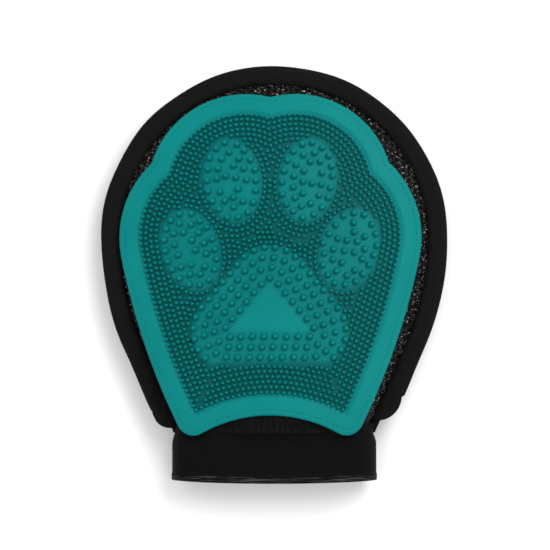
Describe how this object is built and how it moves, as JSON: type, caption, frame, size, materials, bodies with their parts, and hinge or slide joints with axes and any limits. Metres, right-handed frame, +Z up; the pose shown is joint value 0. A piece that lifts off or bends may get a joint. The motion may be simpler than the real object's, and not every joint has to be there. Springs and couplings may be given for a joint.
{
  "type": "grooming glove",
  "caption": "Pet grooming mitt with a rubber pad of nubs drawing a paw, a bound mesh hand pocket and an elastic wrist cuff.",
  "frame": {"origin": "under the middle of the glove's box, on the surface that it lies on", "axes": "+Z up out of the nubs, +Y to the fingertips, +X to the right when looking at the palm with the fingers up"},
  "size_m": [0.189, 0.2286, 0.0398],
  "materials": {
    "rubber": "satin moulded rubber",
    "air_mesh": "open knitted spacer mesh",
    "binding": "soft woven tape",
    "thread": "polyester thread",
    "pad_thread": "polyester thread",
    "elastic": "ribbed woven elastic"
  },
  "bodies": {
    "mitt": {"rubber_pad": "rubber", "palm_panel": "air_mesh", "back_panel": "air_mesh", "edge_binding": "binding", "binding_stitching": "thread", "pad_stitching": "pad_thread"},
    "cuff": {"cuff_band": "elastic", "cuff_seam_stitching": "thread", "cuff_join_stitching": "thread"}
  },
  "joints": [
    {"name": "wrist_bend", "type": "hinge", "parent": "mitt", "child": "cuff", "pos_m": [0, -0.083, 0.0008], "axis": [1, 0, 0], "range_deg": [0, 40], "stiffness_Nm_per_rad": 0.15}
  ]
}
